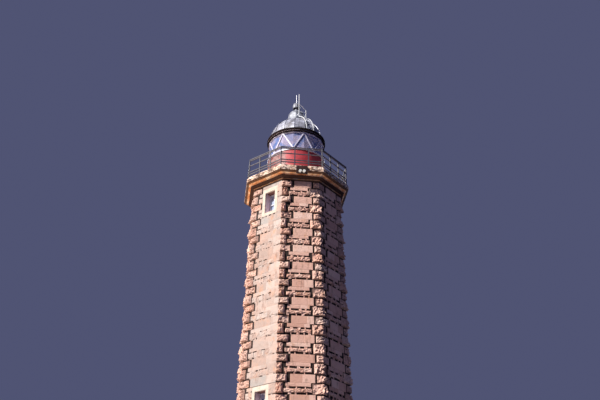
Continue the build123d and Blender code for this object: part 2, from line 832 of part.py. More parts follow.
# Twin lamps low in a shallow housing that hangs on the lip of the gallery deck
lamp_box_middle = deck_top - lamp_box_drop - lamp_box_height / 2
lamp_height = lamp_box_middle - lamp_box_height / 2 + lamp_rise
with BuildPart() as lamp_box:
    with BuildSketch(side_plane(LAMP_SIDE, deck_lip_apothem, lamp_box_middle)):
        RectangleRounded(lamp_box_width, lamp_box_height, lamp_box_corner)
    extrude(amount=lamp_box_depth)
save(lamp_box.part, "lamp_housing")
lamps = []
for shift in (-1, 1):
    with BuildPart() as lamp:
        with BuildSketch(side_plane(LAMP_SIDE, deck_lip_apothem + lamp_box_depth, lamp_height)):
            with Locations((shift * lamp_spacing / 2, 0)):
                Circle(lamp_radius)
        extrude(amount=lamp_length)
    lamps.append(lamp.part)
save(Compound(children=lamps), "twin_lamps")
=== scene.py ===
import math
from collections import namedtuple

import bpy
import numpy as np
from mathutils import Matrix, Vector


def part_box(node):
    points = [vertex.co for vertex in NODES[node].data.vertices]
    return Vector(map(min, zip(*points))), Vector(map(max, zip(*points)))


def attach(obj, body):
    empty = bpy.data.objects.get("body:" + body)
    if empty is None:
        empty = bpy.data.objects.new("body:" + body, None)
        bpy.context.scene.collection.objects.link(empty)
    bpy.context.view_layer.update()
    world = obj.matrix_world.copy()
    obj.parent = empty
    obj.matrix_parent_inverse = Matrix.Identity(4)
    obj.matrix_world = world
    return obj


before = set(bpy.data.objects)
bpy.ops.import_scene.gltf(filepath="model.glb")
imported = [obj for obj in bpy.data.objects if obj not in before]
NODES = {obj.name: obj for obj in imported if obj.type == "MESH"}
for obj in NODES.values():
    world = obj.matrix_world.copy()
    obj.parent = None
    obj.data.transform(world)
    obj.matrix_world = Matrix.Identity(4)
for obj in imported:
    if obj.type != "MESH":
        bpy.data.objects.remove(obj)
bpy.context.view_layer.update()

# Sides are counted from the front, which faces -Y, turning towards +X. A corner has the number of
# the side whose right edge it is.
SIDE_NAMES = [
    "front", "front_right", "right", "back_right", "back", "back_left", "left", "front_left",
]
SIDES = len(SIDE_NAMES)
SIDE_TURN = math.radians(360 / SIDES)
HALF_TURN = SIDE_TURN / 2
FRONT, FRONT_RIGHT, BACK = 0, 1, 4

# The sides with windows, whose masonry is smooth and cream
DRESSED_SIDES = (FRONT, BACK)

# Seeds of the stones: those of a side or a corner add its number
FACE_SEED = 11
CORNER_SEED = 31
PLINTH_SEED = 51

# Tolerance for places read from the CAD's vertices
NEAR = 1e-3


def apothem_at(node, height):
    """Furthest reach towards +X of a node's vertices at one height."""
    return max(v.co.x for v in NODES[node].data.vertices if abs(v.co.z - height) < NEAR)


# Sizes read from the frame
SHAFT_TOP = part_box("right_wall")[1].z
FOOT_APOTHEM = apothem_at("right_wall", 0)
TOP_APOTHEM = apothem_at("right_wall", SHAFT_TOP)
PLINTH_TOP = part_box("plinth")[1].z
PLINTH_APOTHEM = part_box("plinth")[1].x
DRUM_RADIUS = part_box("lantern_drum")[1].x

# Height ranges that hold the door and the windows of a side
DOOR_HEIGHTS = (0.0, 5.0)
WINDOW_HEIGHTS = ((5.0, 16.0), (16.0, SHAFT_TOP))

# How far behind the wall's face a vertex still counts as part of an opening's outline
OUTLINE_DEPTH = 0.1

# Courses, counted from the top of one thin rough course. On it lie a low and a tall layer of
# blocks, and then the next thin course. Layers cut thinner than the least one are left out.
COURSE_TOP = 21.405
COURSE_STEP = 0.9557
THIN_HEIGHT = 0.37
LOWER_HEIGHT = 0.185
LEAST_LAYER = 0.03

# Least and greatest length of the stones in each kind of layer. A last stone under this share of
# the least length is joined to its neighbour.
STONE_LENGTHS = {"thin": (0.14, 0.42), "low": (0.5, 0.95), "tall": (0.55, 1.1)}
PLINTH_LENGTHS = (0.5, 1.0)
LEAST_REST = 0.6

# Cells along and up a stone's front, and the width of the rim round them
BLOCK_GRID = ((3, 2), 0.02)
RUBBLE_GRID = ((4, 3), 0.03)
STOP_GRID = ((2, 2), 0.015)
PLINTH_GRID = ((4, 3), 0.03)

# The widest rim as a share of its stone, and the least size of a stone that this reckons with
MOST_RIM = 0.3
TINY = 1e-6

# Smallest width and height of what an opening leaves of a stone
LEAST_PIECE = 0.05
LEAST_STOP = 0.02

# How far a stone's face stands off the wall, the least that any point of its front does, and
# where its sides end behind the wall's face
WALL_STAND = 0.04
LEAST_STAND = 0.005
STONE_BACK = -0.01

# Roughness of a rim as a share of its stone's, roughness of a rock face's fine facets as a share
# of its coarse ones', and the roughness from which a stone's hollows get full painted shade and
# dirt
RIM_ROUGH = 0.25
FINE_ROUGH = 0.28
FULL_PIT_SHADE_ROUGH = 0.04

# How the stones of a side are laid
Style = namedtuple("Style", [
    "end_gaps",      # gaps at the left and right end of a run of blocks
    "joint",         # half the width of a joint between blocks
    "block_stand",   # least and greatest stand of a block off WALL_STAND
    "block_rim",     # how far a block's rim is set back
    "rubble_gaps",   # least and greatest height of the gaps above and below the rubble
    "rubble_stand",  # greatest stand of a rubble stone off WALL_STAND
    "rubble_rough",
    "stop_widths",   # widths of the packing stones in those gaps, and the spaces between them
    "stop_spaces",
    "stop_rim",      # stand of a packing stone's rim off the wall
])
DRESSED = Style(
    end_gaps=(0.055, 0.0), joint=0.0006, block_stand=(-0.003, 0.003), block_rim=0.001,
    rubble_gaps=(0.03, 0.075), rubble_stand=0.012, rubble_rough=0.012,
    stop_widths=(0.08, 0.16, 0.30), stop_spaces=(0.004, 0.06, 0.12, 0.22), stop_rim=0.038,
)
RAKED = Style(
    end_gaps=(0.085, 0.045), joint=0.002, block_stand=(-0.003, 0.006), block_rim=0.006,
    rubble_gaps=(0.075, 0.12), rubble_stand=0.04, rubble_rough=0.026,
    stop_widths=(0.05, 0.08, 0.14), stop_spaces=(0.2, 0.3, 0.4), stop_rim=0.024,
)
BLOCK_ROUGH = 0.003

# Rubble: half its joints, and the stand of a rim as a share of its stone's
RUBBLE_JOINT = 0.002
RUBBLE_RIM = 0.75

# Packing stones: the first one's greatest distance from the start of a run, the least room that
# takes one more, and how much the spaces between them are shortened or stretched
STOP_START = 0.3
STOP_ROOM = 0.05
STOP_STRETCH = (0.7, 1.3)

# Corner stones have a long and a short arm by turns. An arm leaves this much wall beside an
# opening.
LONG_ARM = 0.53
SHORT_ARM = 0.33
ARM_CLEARANCE = 0.06

# The rock-faced corner stones: bold ones at the thin courses, plain ones between
Quoin = namedtuple("Quoin", [
    "stand",         # least and greatest stand off the wall
    "lean",          # how much further it stands out LEAN_HEIGHT higher up
    "cut",           # most that is cut off an arm's end
    "rough",
    "grid",
])
BOLD_QUOIN = Quoin(
    stand=(0.075, 0.105), lean=(-0.07, 0.0), cut=0.10, rough=0.062, grid=((11, 5), 0.04)
)
PLAIN_QUOIN = Quoin(
    stand=(0.055, 0.08), lean=(-0.04, 0.01), cut=0.04, rough=0.040, grid=((9, 4), 0.04)
)
LEAN_HEIGHT = 0.24

# A corner stone's joint, the stand of its rim, the most that its foot is raised, how much more it
# stands out TWIST_LENGTH further along, and how cream it is at most
QUOIN_JOINT = 0.03
QUOIN_RIM = 0.03
QUOIN_LIFT = 0.02
QUOIN_TWIST = 0.09
TWIST_LENGTH = 0.4
QUOIN_CREAM = 0.3

# Stand of the corner stones right of the front_right side, as a share of the others': in the
# photo they stand out less
FLAT_CORNER = 0.65

# An arm at a dressed side's right edge is smooth: its stand, its gap at the end, the length in
# which it turns from rock, and how near the corner the side's own stones end below it
SMOOTH_STAND = WALL_STAND + 0.006
SMOOTH_GAP = 0.004
SMOOTH_TURN = 0.05
UNDER_ARM = 0.03

# How cream a dressed side is, from 0 to 1. Within these distances beside an opening, and above
# or below it, a stone's value falls with its distance instead, from 1 at the opening.
CREAM_FACE = 0.8
CREAM_BESIDE = 0.5
CREAM_ABOVE = 0.35

# The plinth's blocks: number of courses, half a joint, stand of the rim and the face, roughness
PLINTH_COURSES = 2
PLINTH_JOINT = 0.006
PLINTH_RIM = 0.016
PLINTH_STAND = 0.03
PLINTH_ROUGH = 0.006


def wall_apothem(z):
    return FOOT_APOTHEM - (FOOT_APOTHEM - TOP_APOTHEM) * z / SHAFT_TOP


def half_width(low, high):
    """Half the width of a side of the shaft, midway between two heights."""
    return wall_apothem((low + high) / 2) * math.tan(HALF_TURN)


def side_axes(side):
    """The outward and rightward directions of a side, seen from outside."""
    turn = side * SIDE_TURN
    out = np.array([math.sin(turn), -math.cos(turn), 0])
    right = np.array([math.cos(turn), math.sin(turn), 0])
    return out, right


def columns(*grids):
    """The grids with one more axis, so that they can be multiplied by directions."""
    return (np.asarray(grid, float)[..., None] for grid in grids)


def on_side(side, apothem):
    """Maps places on a side, heights and stand-offs to points; apothem is a function of z."""
    out, right = side_axes(side)

    def place(s, z, p):
        s, z, p = columns(s, z, p)
        return out * (apothem(z) + p) + right * s + np.array([0, 0, 1]) * z

    return place


def round_corner(side, apothem):
    """As on_side, for the corner at a side's right edge: s runs from its left arm to its right."""
    out_a, right_a = side_axes(side)
    out_b, right_b = side_axes(side + 1)

    def place(s, z, p):
        s, z, p = columns(s, z, p)
        half = (apothem(z) + p) * math.tan(HALF_TURN)
        left = out_a * (apothem(z) + p) + right_a * (half + s)
        right = out_b * (apothem(z) + p) + right_b * (s - half)
        return np.where(s < 0, left, right) + np.array([0, 0, 1]) * z

    return place


class Stones:
    """One mesh of stones, with each one's tone, paleness, and painted shade and dirt in hollows.
    """

    def __init__(self, seed):
        self.rng = np.random.default_rng(seed)
        self.points, self.faces, self.tones, self.pales, self.hollow_shading = [], [], [], [], []
        self.count = 0

    def add(self, place, span, rows, p_rim, p_face, rough, cells, margin, pale=0.0, fine=False):
        """One stone: a front of cells with a rim set back, and sides to behind the wall's face.

        p_face may be a function of s and z, and rough and pale may be functions of s.
        """
        u = self.steps(cells[0], margin / max(span[1] - span[0], TINY))
        v = self.steps(cells[1], margin / max(rows[1] - rows[0], TINY))
        grid_u, grid_v = np.meshgrid(u, v, indexing="ij")
        s = span[0] + (span[1] - span[0]) * grid_u
        z = rows[0] + (rows[1] - rows[0]) * grid_v
        inside = np.ones_like(s)
        inside[[0, -1], :] = 0
        inside[:, [0, -1]] = 0
        wild = self.rng.uniform(-1, 1, s.shape)
        if fine:
            s, z, inside, wild = (self.halved(grid) for grid in (s, z, inside, wild))
            wild += self.rng.uniform(-FINE_ROUGH, FINE_ROUGH, wild.shape)
        height = p_face(s, z) if callable(p_face) else p_face
        grain = rough(s) if callable(rough) else rough
        p = p_rim + (height - p_rim) * inside
        p = np.maximum(p + grain * wild * (RIM_ROUGH + (1 - RIM_ROUGH) * inside), LEAST_STAND)
        front = place(s, z, p).reshape(-1, 3)

        n_u, n_v = s.shape
        index = np.arange(n_u * n_v).reshape(n_u, n_v)
        quads = np.stack(
            [index[:-1, :-1], index[1:, :-1], index[1:, 1:], index[:-1, 1:]], axis=-1
        ).reshape(-1, 4)
        loop = np.concatenate([index[:, 0], index[-1, 1:], index[-2::-1, -1], index[0, -2:0:-1]])
        rim_s, rim_z = s.reshape(-1)[loop], z.reshape(-1)[loop]
        behind = place(rim_s, rim_z, np.full_like(rim_s, STONE_BACK))
        ring = np.arange(len(loop)) + len(front)
        sides = np.stack([loop, ring, np.roll(ring, -1), np.roll(loop, -1)], axis=-1)
        self.points += [front, behind]
        self.faces += [quads + self.count, sides + self.count]
        self.count += len(front) + len(behind)

        self.tones.append(np.full(len(front) + len(behind), self.rng.uniform(0, 1)))
        # Painted shade and dirt: most in the low points of a rough front, full on the sides down
        # into the joints
        pit_shade = np.clip(-wild, 0, 1) * np.clip(grain / FULL_PIT_SHADE_ROUGH, 0, 1) * np.ones_like(s)
        self.hollow_shading.append(np.concatenate([pit_shade.reshape(-1), np.ones(len(behind))]))
        along = np.concatenate([s.reshape(-1), rim_s])
        self.pales.append(pale(along) if callable(pale) else np.full(len(along), pale))

    @staticmethod
    def halved(grid):
        """The grid with a new row and column halfway between each two."""
        fine = np.zeros([2 * n - 1 for n in grid.shape])
        fine[::2, ::2] = grid
        fine[1::2, ::2] = (grid[:-1] + grid[1:]) / 2
        fine[:, 1::2] = (fine[:, :-2:2] + fine[:, 2::2]) / 2
        return fine

    @staticmethod
    def steps(cells, margin):
        """Cell borders from 0 to 1 with a narrow cell at each end."""
        margin = min(margin, MOST_RIM)
        return np.concatenate([[0], np.linspace(margin, 1 - margin, cells + 1), [1]])

    def build(self, name, slot):
        """Makes the mesh and puts it in the scene as a part of the lighthouse."""
        mesh = bpy.data.meshes.new(name)
        points = np.concatenate(self.points)
        faces = np.concatenate(self.faces)
        mesh.from_pydata(points.tolist(), [], faces.tolist())
        for key, values in (
            ("stone_tone", self.tones), ("stone_pale", self.pales), ("stone_hollow_shade", self.hollow_shading),
        ):
            attribute = mesh.attributes.new(key, "FLOAT", "POINT")
            attribute.data.foreach_set("value", np.concatenate(values).astype(np.float32))
        mesh.materials.append(MATERIALS[slot])
        mesh.update()
        obj = bpy.data.objects.new(name, mesh)
        bpy.context.scene.collection.objects.link(obj)
        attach(obj, "root")


class Shader:
    """A node material: most calls add nodes and give their output."""

    def __init__(self, name, roughness, metallic=0.0):
        self.material = bpy.data.materials.new(name)
        self.material.use_nodes = True
        self.tree = self.material.node_tree
        self.bsdf = self.tree.nodes["Principled BSDF"]
        self.bsdf.inputs["Roughness"].default_value = roughness
        self.bsdf.inputs["Metallic"].default_value = metallic
        self.where = self.tree.nodes.new("ShaderNodeNewGeometry").outputs["Position"]

    def node(self, kind, inputs=None, **settings):
        made = self.tree.nodes.new(kind)
        for key, value in settings.items():
            setattr(made, key, value)
        for key, value in (inputs or {}).items():
            if isinstance(value, bpy.types.NodeSocket):
                self.tree.links.new(value, made.inputs[key])
            else:
                made.inputs[key].default_value = value
        return made

    def math(self, operation, a, b=0.0):
        return self.node("ShaderNodeMath", {0: a, 1: b}, operation=operation).outputs[0]

    def place(self, axis):
        """The X, Y or Z of the point."""
        return self.node("ShaderNodeSeparateXYZ", {0: self.where}).outputs[axis]

    def noise(self, scale, detail, roughness=0.6, stretch=None, distortion=0.0):
        where = self.where
        if stretch:
            where = self.node(
                "ShaderNodeVectorMath", {0: where, 1: stretch}, operation="MULTIPLY"
            ).outputs[0]
        return self.node("ShaderNodeTexNoise", {
            "Vector": where, "Scale": scale, "Detail": detail, "Roughness": roughness,
            "Distortion": distortion,
        }).outputs["Fac"]

    def fade(self, value, low, high):
        """0 below low, 1 above high."""
        return self.node(
            "ShaderNodeMapRange", {"Value": value, "From Min": low, "From Max": high}, clamp=True
        ).outputs["Result"]

    def patches(self, scale, low, high, **noise):
        """0 where the noise is below low, 1 where it is above high."""
        return self.fade(self.noise(scale, **noise), low, high)

    def facing(self, way):
        """1 where the surface faces up (way 1) or down (way -1), 0 where it is upright."""
        normal = self.node("ShaderNodeNewGeometry").outputs["Normal"]
        rise = self.node("ShaderNodeSeparateXYZ", {0: normal}).outputs["Z"]
        return self.fade(self.math("MULTIPLY", rise, way), 0.1, 0.75)

    def side_distance(self):
        """How far along its own side of the tower a point lies, in metres."""
        x, y = self.place("X"), self.place("Y")
        turn = self.math("ARCTAN2", x, self.math("MULTIPLY", y, -1.0))
        side = self.math("ROUND", self.math("DIVIDE", turn, SIDE_TURN))
        angle = self.math("MULTIPLY", side, SIDE_TURN)
        return self.math(
            "ADD",
            self.math("MULTIPLY", x, self.math("COSINE", angle)),
            self.math("MULTIPLY", y, self.math("SINE", angle)),
        )

    def joints(self, along, pitch, width, shift=0.0):
        """1 in narrow bands that repeat at a pitch, 0 elsewhere."""
        phase = self.math("FRACT", self.math("DIVIDE", self.math("ADD", along, shift), pitch))
        edge = self.math("ABSOLUTE", self.math("SUBTRACT", phase, 0.5))
        return self.math("GREATER_THAN", edge, 0.5 - width / (2 * pitch))

    def attribute(self, name):
        return self.node("ShaderNodeAttribute", attribute_name=name).outputs["Fac"]

    def ramp(self, factor, stops):
        made = self.node("ShaderNodeValToRGB", {"Fac": factor})
        elements = made.color_ramp.elements
        while len(elements) < len(stops):
            elements.new(0.5)
        for element, (place, colour) in zip(elements, stops):
            element.position = place
            element.color = (*colour, 1)
        return made.outputs["Color"]

    def mix(self, factor, a, b):
        """Colour a where the factor is 0, b where it is 1."""
        made = self.node("ShaderNodeMix", {0: factor}, data_type="RGBA")
        for socket, value in ((made.inputs[6], a), (made.inputs[7], b)):
            if isinstance(value, bpy.types.NodeSocket):
                self.tree.links.new(value, socket)
            else:
                socket.default_value = (*value, 1)
        return made.outputs[2]

    def stain(self, base, mask, share, colour):
        """The base with a share of a colour over it where the mask is 1."""
        return self.mix(self.math("MULTIPLY", mask, share), base, colour)

    def drive(self, name, socket):
        """Links a value to one of the surface's own inputs."""
        self.tree.links.new(socket, self.bsdf.inputs[name])

    def bump(self, socket, distance):
        made = self.node("ShaderNodeBump", {"Height": socket, "Distance": distance})
        self.drive("Normal", made.outputs["Normal"])


def stone_material():
    """Pink sandstone whose blocks differ in tone, with weather stains, fine grain and painted
    shade.
    """
    m = Shader("pink_sandstone", roughness=0.92)
    tone = m.attribute("stone_tone")
    pink = m.ramp(tone, [
        (0.0, (0.60, 0.33, 0.255)), (0.35, (0.70, 0.42, 0.34)), (0.7, (0.74, 0.46, 0.375)),
        (1.0, (0.84, 0.59, 0.50)),
    ])
    cream = m.ramp(tone, [(0.0, (0.25, 0.22, 0.208)), (1.0, (0.35, 0.35, 0.348))])
    base = m.mix(m.attribute("stone_pale"), pink, cream)
    warm = m.patches(2.2, 0.42, 0.7, detail=6)
    base = m.stain(base, warm, 0.35, (0.66, 0.37, 0.27))
    rust = m.patches(3.1, 0.56, 0.68, detail=7, stretch=(1, 1, 0.6))
    base = m.stain(base, rust, 0.5, (0.52, 0.23, 0.10))
    soot = m.patches(5.0, 0.56, 0.72, detail=8, stretch=(1, 1, 0.35))
    base = m.stain(base, soot, 0.65, (0.17, 0.075, 0.05))
    grain = m.noise(60, detail=8)
    base = m.stain(base, m.fade(grain, 0.4, 0.7), 0.3, (0.74, 0.50, 0.40))
    # Painted shade on faces that look down, under the stones' ledges
    base = m.stain(base, m.facing(-1), 0.55, (0.09, 0.04, 0.03))
    # Painted shade and dirt in the stones' hollows and joints
    hollow_shading = m.fade(m.attribute("stone_hollow_shade"), 0.35, 0.95)
    m.drive("Base Color", m.stain(base, hollow_shading, 0.9, (0.035, 0.015, 0.012)))
    m.bump(m.math("ADD", m.noise(18, detail=9), m.math("MULTIPLY", grain, 0.4)), 0.03)
    return m.material


def joint_fill_and_shade_material():
    """Raked joints between the stones, their mortar painted near black as the shade deep in them.
    """
    m = Shader("dark_joint_fill_and_shade", roughness=0.95)
    # The mortar's own dark brown, deepened to near black as painted shade in the joints
    m.drive("Base Color", m.ramp(
        m.noise(9, detail=8), [(0.3, (0.010, 0.005, 0.005)), (0.7, (0.035, 0.018, 0.014))]
    ))
    m.bump(m.noise(40, detail=8), 0.01)
    return m.material


def pale_material():
    """Dressed pale stone of the surrounds; inside, painted light makes the jambs lavender and
    painted shade the heads red-brown.
    """
    m = Shader("pale_dressed_stone", roughness=0.85)
    base = m.ramp(m.noise(6, detail=8), [(0.3, (0.46, 0.385, 0.32)), (0.7, (0.62, 0.545, 0.47))])
    stains = m.patches(8, 0.58, 0.75, detail=6, stretch=(1, 1, 0.4))
    base = m.stain(base, stains, 0.5, (0.30, 0.18, 0.11))
    slope = (FOOT_APOTHEM - TOP_APOTHEM) / SHAFT_TOP
    face = m.math("SUBTRACT", FOOT_APOTHEM, m.math("MULTIPLY", m.place("Z"), slope))
    inward = m.math("SUBTRACT", face, m.math("ABSOLUTE", m.place("Y")))
    # Painted light and shade in the reveals: jambs painted light lavender, heads that face down
    # painted dark red-brown
    reveal_light_and_shade = m.mix(m.facing(-1), (0.66, 0.52, 0.56), (0.17, 0.075, 0.06))
    m.drive("Base Color", m.mix(m.fade(inward, 0.03, 0.08), base, reveal_light_and_shade))
    m.bump(m.noise(50, detail=6), 0.006)
    return m.material


# Length of the blocks of the cornice and of the gallery's edge
LEDGE_PITCH = 1.15

# How much painted shade darkens the cornice, from its foot (0) to its top (1): dark bands under
# each ledge
CORNICE_SHADE_BANDS = [
    (0.0, 1.0), (0.14, 1.0), (0.19, 0.1), (0.31, 0.15), (0.36, 1.0), (0.54, 1.0), (0.58, 0.0),
    (0.78, 0.05), (0.83, 0.95), (0.93, 0.8), (1.0, 1.0),
]


def cornice_material():
    """Orange-brown moulded stone, streaked, with bands of painted shade under each ledge."""
    m = Shader("cornice_stone", roughness=0.9)
    base = m.ramp(m.noise(3.5, detail=8), [
        (0.3, (0.62, 0.22, 0.075)), (0.48, (0.86, 0.42, 0.19)), (0.64, (0.96, 0.74, 0.52)),
    ])
    streaks = m.patches(7, 0.50, 0.66, detail=8, stretch=(1, 1, 0.25))
    base = m.stain(base, streaks, 0.5, (0.12, 0.04, 0.018))
    base = m.stain(base, m.patches(14, 0.58, 0.70, detail=6), 0.4, (0.80, 0.42, 0.14))
    foot, top = (corner.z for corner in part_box("cornice"))
    # Painted shade in bands under the ledges
    dirt_and_shade = m.ramp(
        m.fade(m.place("Z"), foot, top), [(place, (dark,) * 3) for place, dark in CORNICE_SHADE_BANDS]
    )
    base = m.mix(dirt_and_shade, base, (0.040, 0.011, 0.004))
    joint = m.joints(m.side_distance(), LEDGE_PITCH, width=0.022)
    m.drive("Base Color", m.stain(base, joint, 0.6, (0.05, 0.025, 0.015)))
    m.bump(m.math("SUBTRACT", m.noise(30, detail=8), joint), 0.02)
    return m.material


def fascia_material():
    """Paler stone edge of the gallery, weathered dark in patches, less so on its level top, with
    painted shade on its underside.
    """
    m = Shader("gallery_stone", roughness=0.88)
    base = m.ramp(m.noise(4.5, detail=8), [
        (0.3, (0.60, 0.38, 0.25)), (0.5, (0.76, 0.58, 0.48)), (0.7, (0.86, 0.74, 0.66)),
    ])
    base = m.stain(base, m.patches(3.0, 0.52, 0.66, detail=7), 0.6, (0.52, 0.24, 0.09))
    notches = m.patches(4.6, 0.485, 0.515, detail=9, roughness=0.75, stretch=(1, 1, 1.6))
    level = m.math("GREATER_THAN", m.facing(1), 0.8)
    share = m.math("SUBTRACT", 0.9, m.math("MULTIPLY", level, 0.7))
    base = m.stain(base, notches, share, (0.06, 0.022, 0.012))
    # Painted shade on the underside
    base = m.stain(base, m.facing(-1), 0.7, (0.09, 0.04, 0.02))
    joint = m.joints(m.side_distance(), LEDGE_PITCH, width=0.018, shift=0.31)
    m.drive("Base Color", m.stain(base, joint, 0.6, (0.06, 0.03, 0.02)))
    m.bump(m.math("SUBTRACT", m.noise(20, detail=8), joint), 0.03)
    return m.material


def paint_material(name, colour, worn, roughness, wear=0.62, scale=5.0):
    """Brushed paint with faded patches and a few chips that show what is under it."""
    m = Shader(name, roughness)
    light = tuple(min(1.0, c * 1.15 + 0.02) for c in colour)
    base = m.mix(m.patches(scale, 0.35, 0.7, detail=6), colour, light)
    chips = m.patches(scale * 6, wear, wear + 0.05, detail=9, roughness=0.7)
    m.drive("Base Color", m.mix(chips, base, worn))
    m.drive("Roughness", m.patches(scale * 2, roughness - 0.6, roughness + 1.2, detail=5))
    m.bump(m.noise(scale * 12, detail=5), 0.002)
    return m.material


def metal_material(name, low, high, roughness, metallic, scale=3.0):
    """Sheet metal with dull cloudy patches and streaks of rain dirt."""
    m = Shader(name, roughness, metallic)
    base = m.ramp(m.noise(scale, detail=7), [(0.3, low), (0.7, high)])
    dirt_and_shade = m.patches(scale * 3, 0.55, 0.75, detail=8, stretch=(1, 1, 0.3))
    base = m.stain(base, dirt_and_shade, 0.45, tuple(c * 0.55 for c in low))
    smudges = m.patches(scale * 1.5, 0.54, 0.62, detail=5, distortion=1.5)
    brown = tuple(c * warmth for c, warmth in zip(low, (1.9, 1.6, 1.1)))
    m.drive("Base Color", m.stain(base, smudges, 0.4, brown))
    least, most = 0.5 - 1.4 * (1 - roughness), 1.6 - roughness * 0.2
    m.drive("Roughness", m.patches(scale * 4, least, most, detail=6))
    m.bump(m.noise(scale * 8, detail=6), 0.004)
    return m.material


def clear_material(name, colour, opacity, roughness, tint=None):
    """Glass seen as a film of two colours, with a sheen and a few duller patches."""
    m = Shader(name, roughness)
    m.drive("Base Color", m.mix(m.patches(1.9, 0.40, 0.60, detail=2), colour, tint or colour))
    dull = m.math("MULTIPLY", m.patches(2.5, 0.2, 0.9, detail=6), 0.25)
    m.drive("Alpha", m.math("ADD", dull, opacity - 0.12))
    m.bsdf.inputs["Specular IOR Level"].default_value = 0.8
    return m.material


# The bearing on which the drum's paint has faded most, and where its painted highlight from the
# key sun lies
FADE_AND_HIGHLIGHT_BEARING = math.radians(-22)


def drum_material():
    """Red paint, faded to a blotchy pink on the side that gets the sun, which also stands as a
    painted highlight there.
    """
    m = Shader("red_lantern_paint", roughness=0.6)
    sunward = m.math(
        "SUBTRACT", m.math("MULTIPLY", m.place("X"), math.sin(FADE_AND_HIGHLIGHT_BEARING)),
        m.math("MULTIPLY", m.place("Y"), math.cos(FADE_AND_HIGHLIGHT_BEARING)),
    )
    worn = m.math("ADD", m.math("DIVIDE", sunward, DRUM_RADIUS), m.noise(3, detail=7))
    # Faded paint and a painted highlight together, on the side towards the key sun
    faded_and_lit = m.fade(worn, 1.21, 1.43)
    red = m.mix(m.patches(5, 0.35, 0.7, detail=6), (0.35, 0.026, 0.036), (0.52, 0.055, 0.07))
    base = m.stain(red, faded_and_lit, 0.9, (0.29, 0.185, 0.175))
    blotches = m.math("MULTIPLY", m.patches(5.5, 0.49, 0.53, detail=7, roughness=0.7), 0.85)
    base = m.stain(base, faded_and_lit, blotches, (0.13, 0.018, 0.022))
    chips = m.patches(26, 0.64, 0.69, detail=9, roughness=0.7)
    m.drive("Base Color", m.mix(chips, base, (0.24, 0.08, 0.06)))
    m.bump(m.noise(40, detail=5), 0.002)
    return m.material


# Where the gutter ring's groove lies, from its foot (0) to its top (1)
GROOVE_LOW, GROOVE_HIGH = 0.31, 0.51


def gutter_material():
    """Dark painted ring with a pale band along its groove."""
    m = Shader("banded_gutter_paint", roughness=0.8)
    m.bsdf.inputs["Specular IOR Level"].default_value = 0.1
    foot, top = (corner.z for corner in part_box("gutter_ring"))
    rise = m.fade(m.place("Z"), foot, top)
    dark = m.ramp(
        m.noise(5, detail=7), [(0.3, (0.004, 0.002, 0.002)), (0.7, (0.018, 0.008, 0.008))]
    )
    pale = m.ramp(m.noise(7, detail=7), [(0.3, (0.48, 0.36, 0.40)), (0.7, (0.72, 0.60, 0.62))])
    band = m.math(
        "MULTIPLY", m.math("GREATER_THAN", rise, GROOVE_LOW),
        m.math("LESS_THAN", rise, GROOVE_HIGH),
    )
    m.drive("Base Color", m.mix(band, dark, pale))
    m.bump(m.noise(30, detail=6), 0.003)
    return m.material


MATERIALS = {
    "pink_stone": stone_material(),
    "joint_fill_and_shade": joint_fill_and_shade_material(),
    "pale_stone": pale_material(),
    "cornice_stone": cornice_material(),
    "gallery_stone": fascia_material(),
    "floor_stone": paint_material(
        "worn_paving", (0.38, 0.33, 0.29), (0.22, 0.18, 0.15), roughness=0.9, wear=0.55, scale=3,
    ),
    "white_paint": paint_material(
        "white_window_paint", (0.66, 0.68, 0.74), (0.30, 0.28, 0.26), roughness=0.45,
    ),
    "door_paint": paint_material(
        "brown_door_paint", (0.16, 0.085, 0.05), (0.30, 0.22, 0.16), roughness=0.5,
    ),
    "railing_paint": paint_material(
        "grey_railing_paint", (0.055, 0.055, 0.075), (0.05, 0.02, 0.012), roughness=0.35,
        wear=0.56,
    ),
    "red_paint": drum_material(),
    "grey_paint": paint_material(
        "light_grey_paint", (0.44, 0.43, 0.52), (0.26, 0.20, 0.19), roughness=0.4,
    ),
    "bar_paint": paint_material(
        "pale_bar_paint", (0.58, 0.56, 0.68), (0.36, 0.28, 0.32), roughness=0.4,
    ),
    "banded_paint": gutter_material(),
    "dark_metal": metal_material(
        "dark_lamp_metal", (0.02, 0.010, 0.010), (0.07, 0.035, 0.025), roughness=0.5,
        metallic=0.2,
    ),
    "dome_metal": metal_material(
        "grey_dome_metal", (0.06, 0.056, 0.07), (0.54, 0.56, 0.69), roughness=0.36,
        metallic=0.2, scale=2.8,
    ),
    "hood_metal": metal_material(
        "grey_hood_metal", (0.045, 0.05, 0.07), (0.42, 0.45, 0.53), roughness=0.36,
        metallic=0.2, scale=3.5,
    ),
    "rod_metal": metal_material(
        "galvanised_rods", (0.66, 0.70, 0.76), (0.90, 0.92, 0.95), roughness=0.3, metallic=0.3,
    ),
    # Its blue-white colours are partly the glass's own tint and partly a painted reflection of a
    # bright sky
    "window_glass": clear_material(
        "window_glass", (0.26, 0.34, 0.52), 0.85, roughness=0.05, tint=(0.62, 0.68, 0.82),
    ),
    "lantern_glass": clear_material(
        "lantern_glass", (0.20, 0.32, 0.72), 0.40, roughness=0.06, tint=(0.68, 0.62, 0.86),
    ),
    "lens_glass": clear_material(
        "lens_glass", (0.03, 0.17, 0.50), 0.95, roughness=0.12, tint=(0.14, 0.40, 0.55),
    ),
    "lamp_glass": clear_material("lamp_glass", (0.74, 0.74, 0.70), 0.98, roughness=0.15),
}

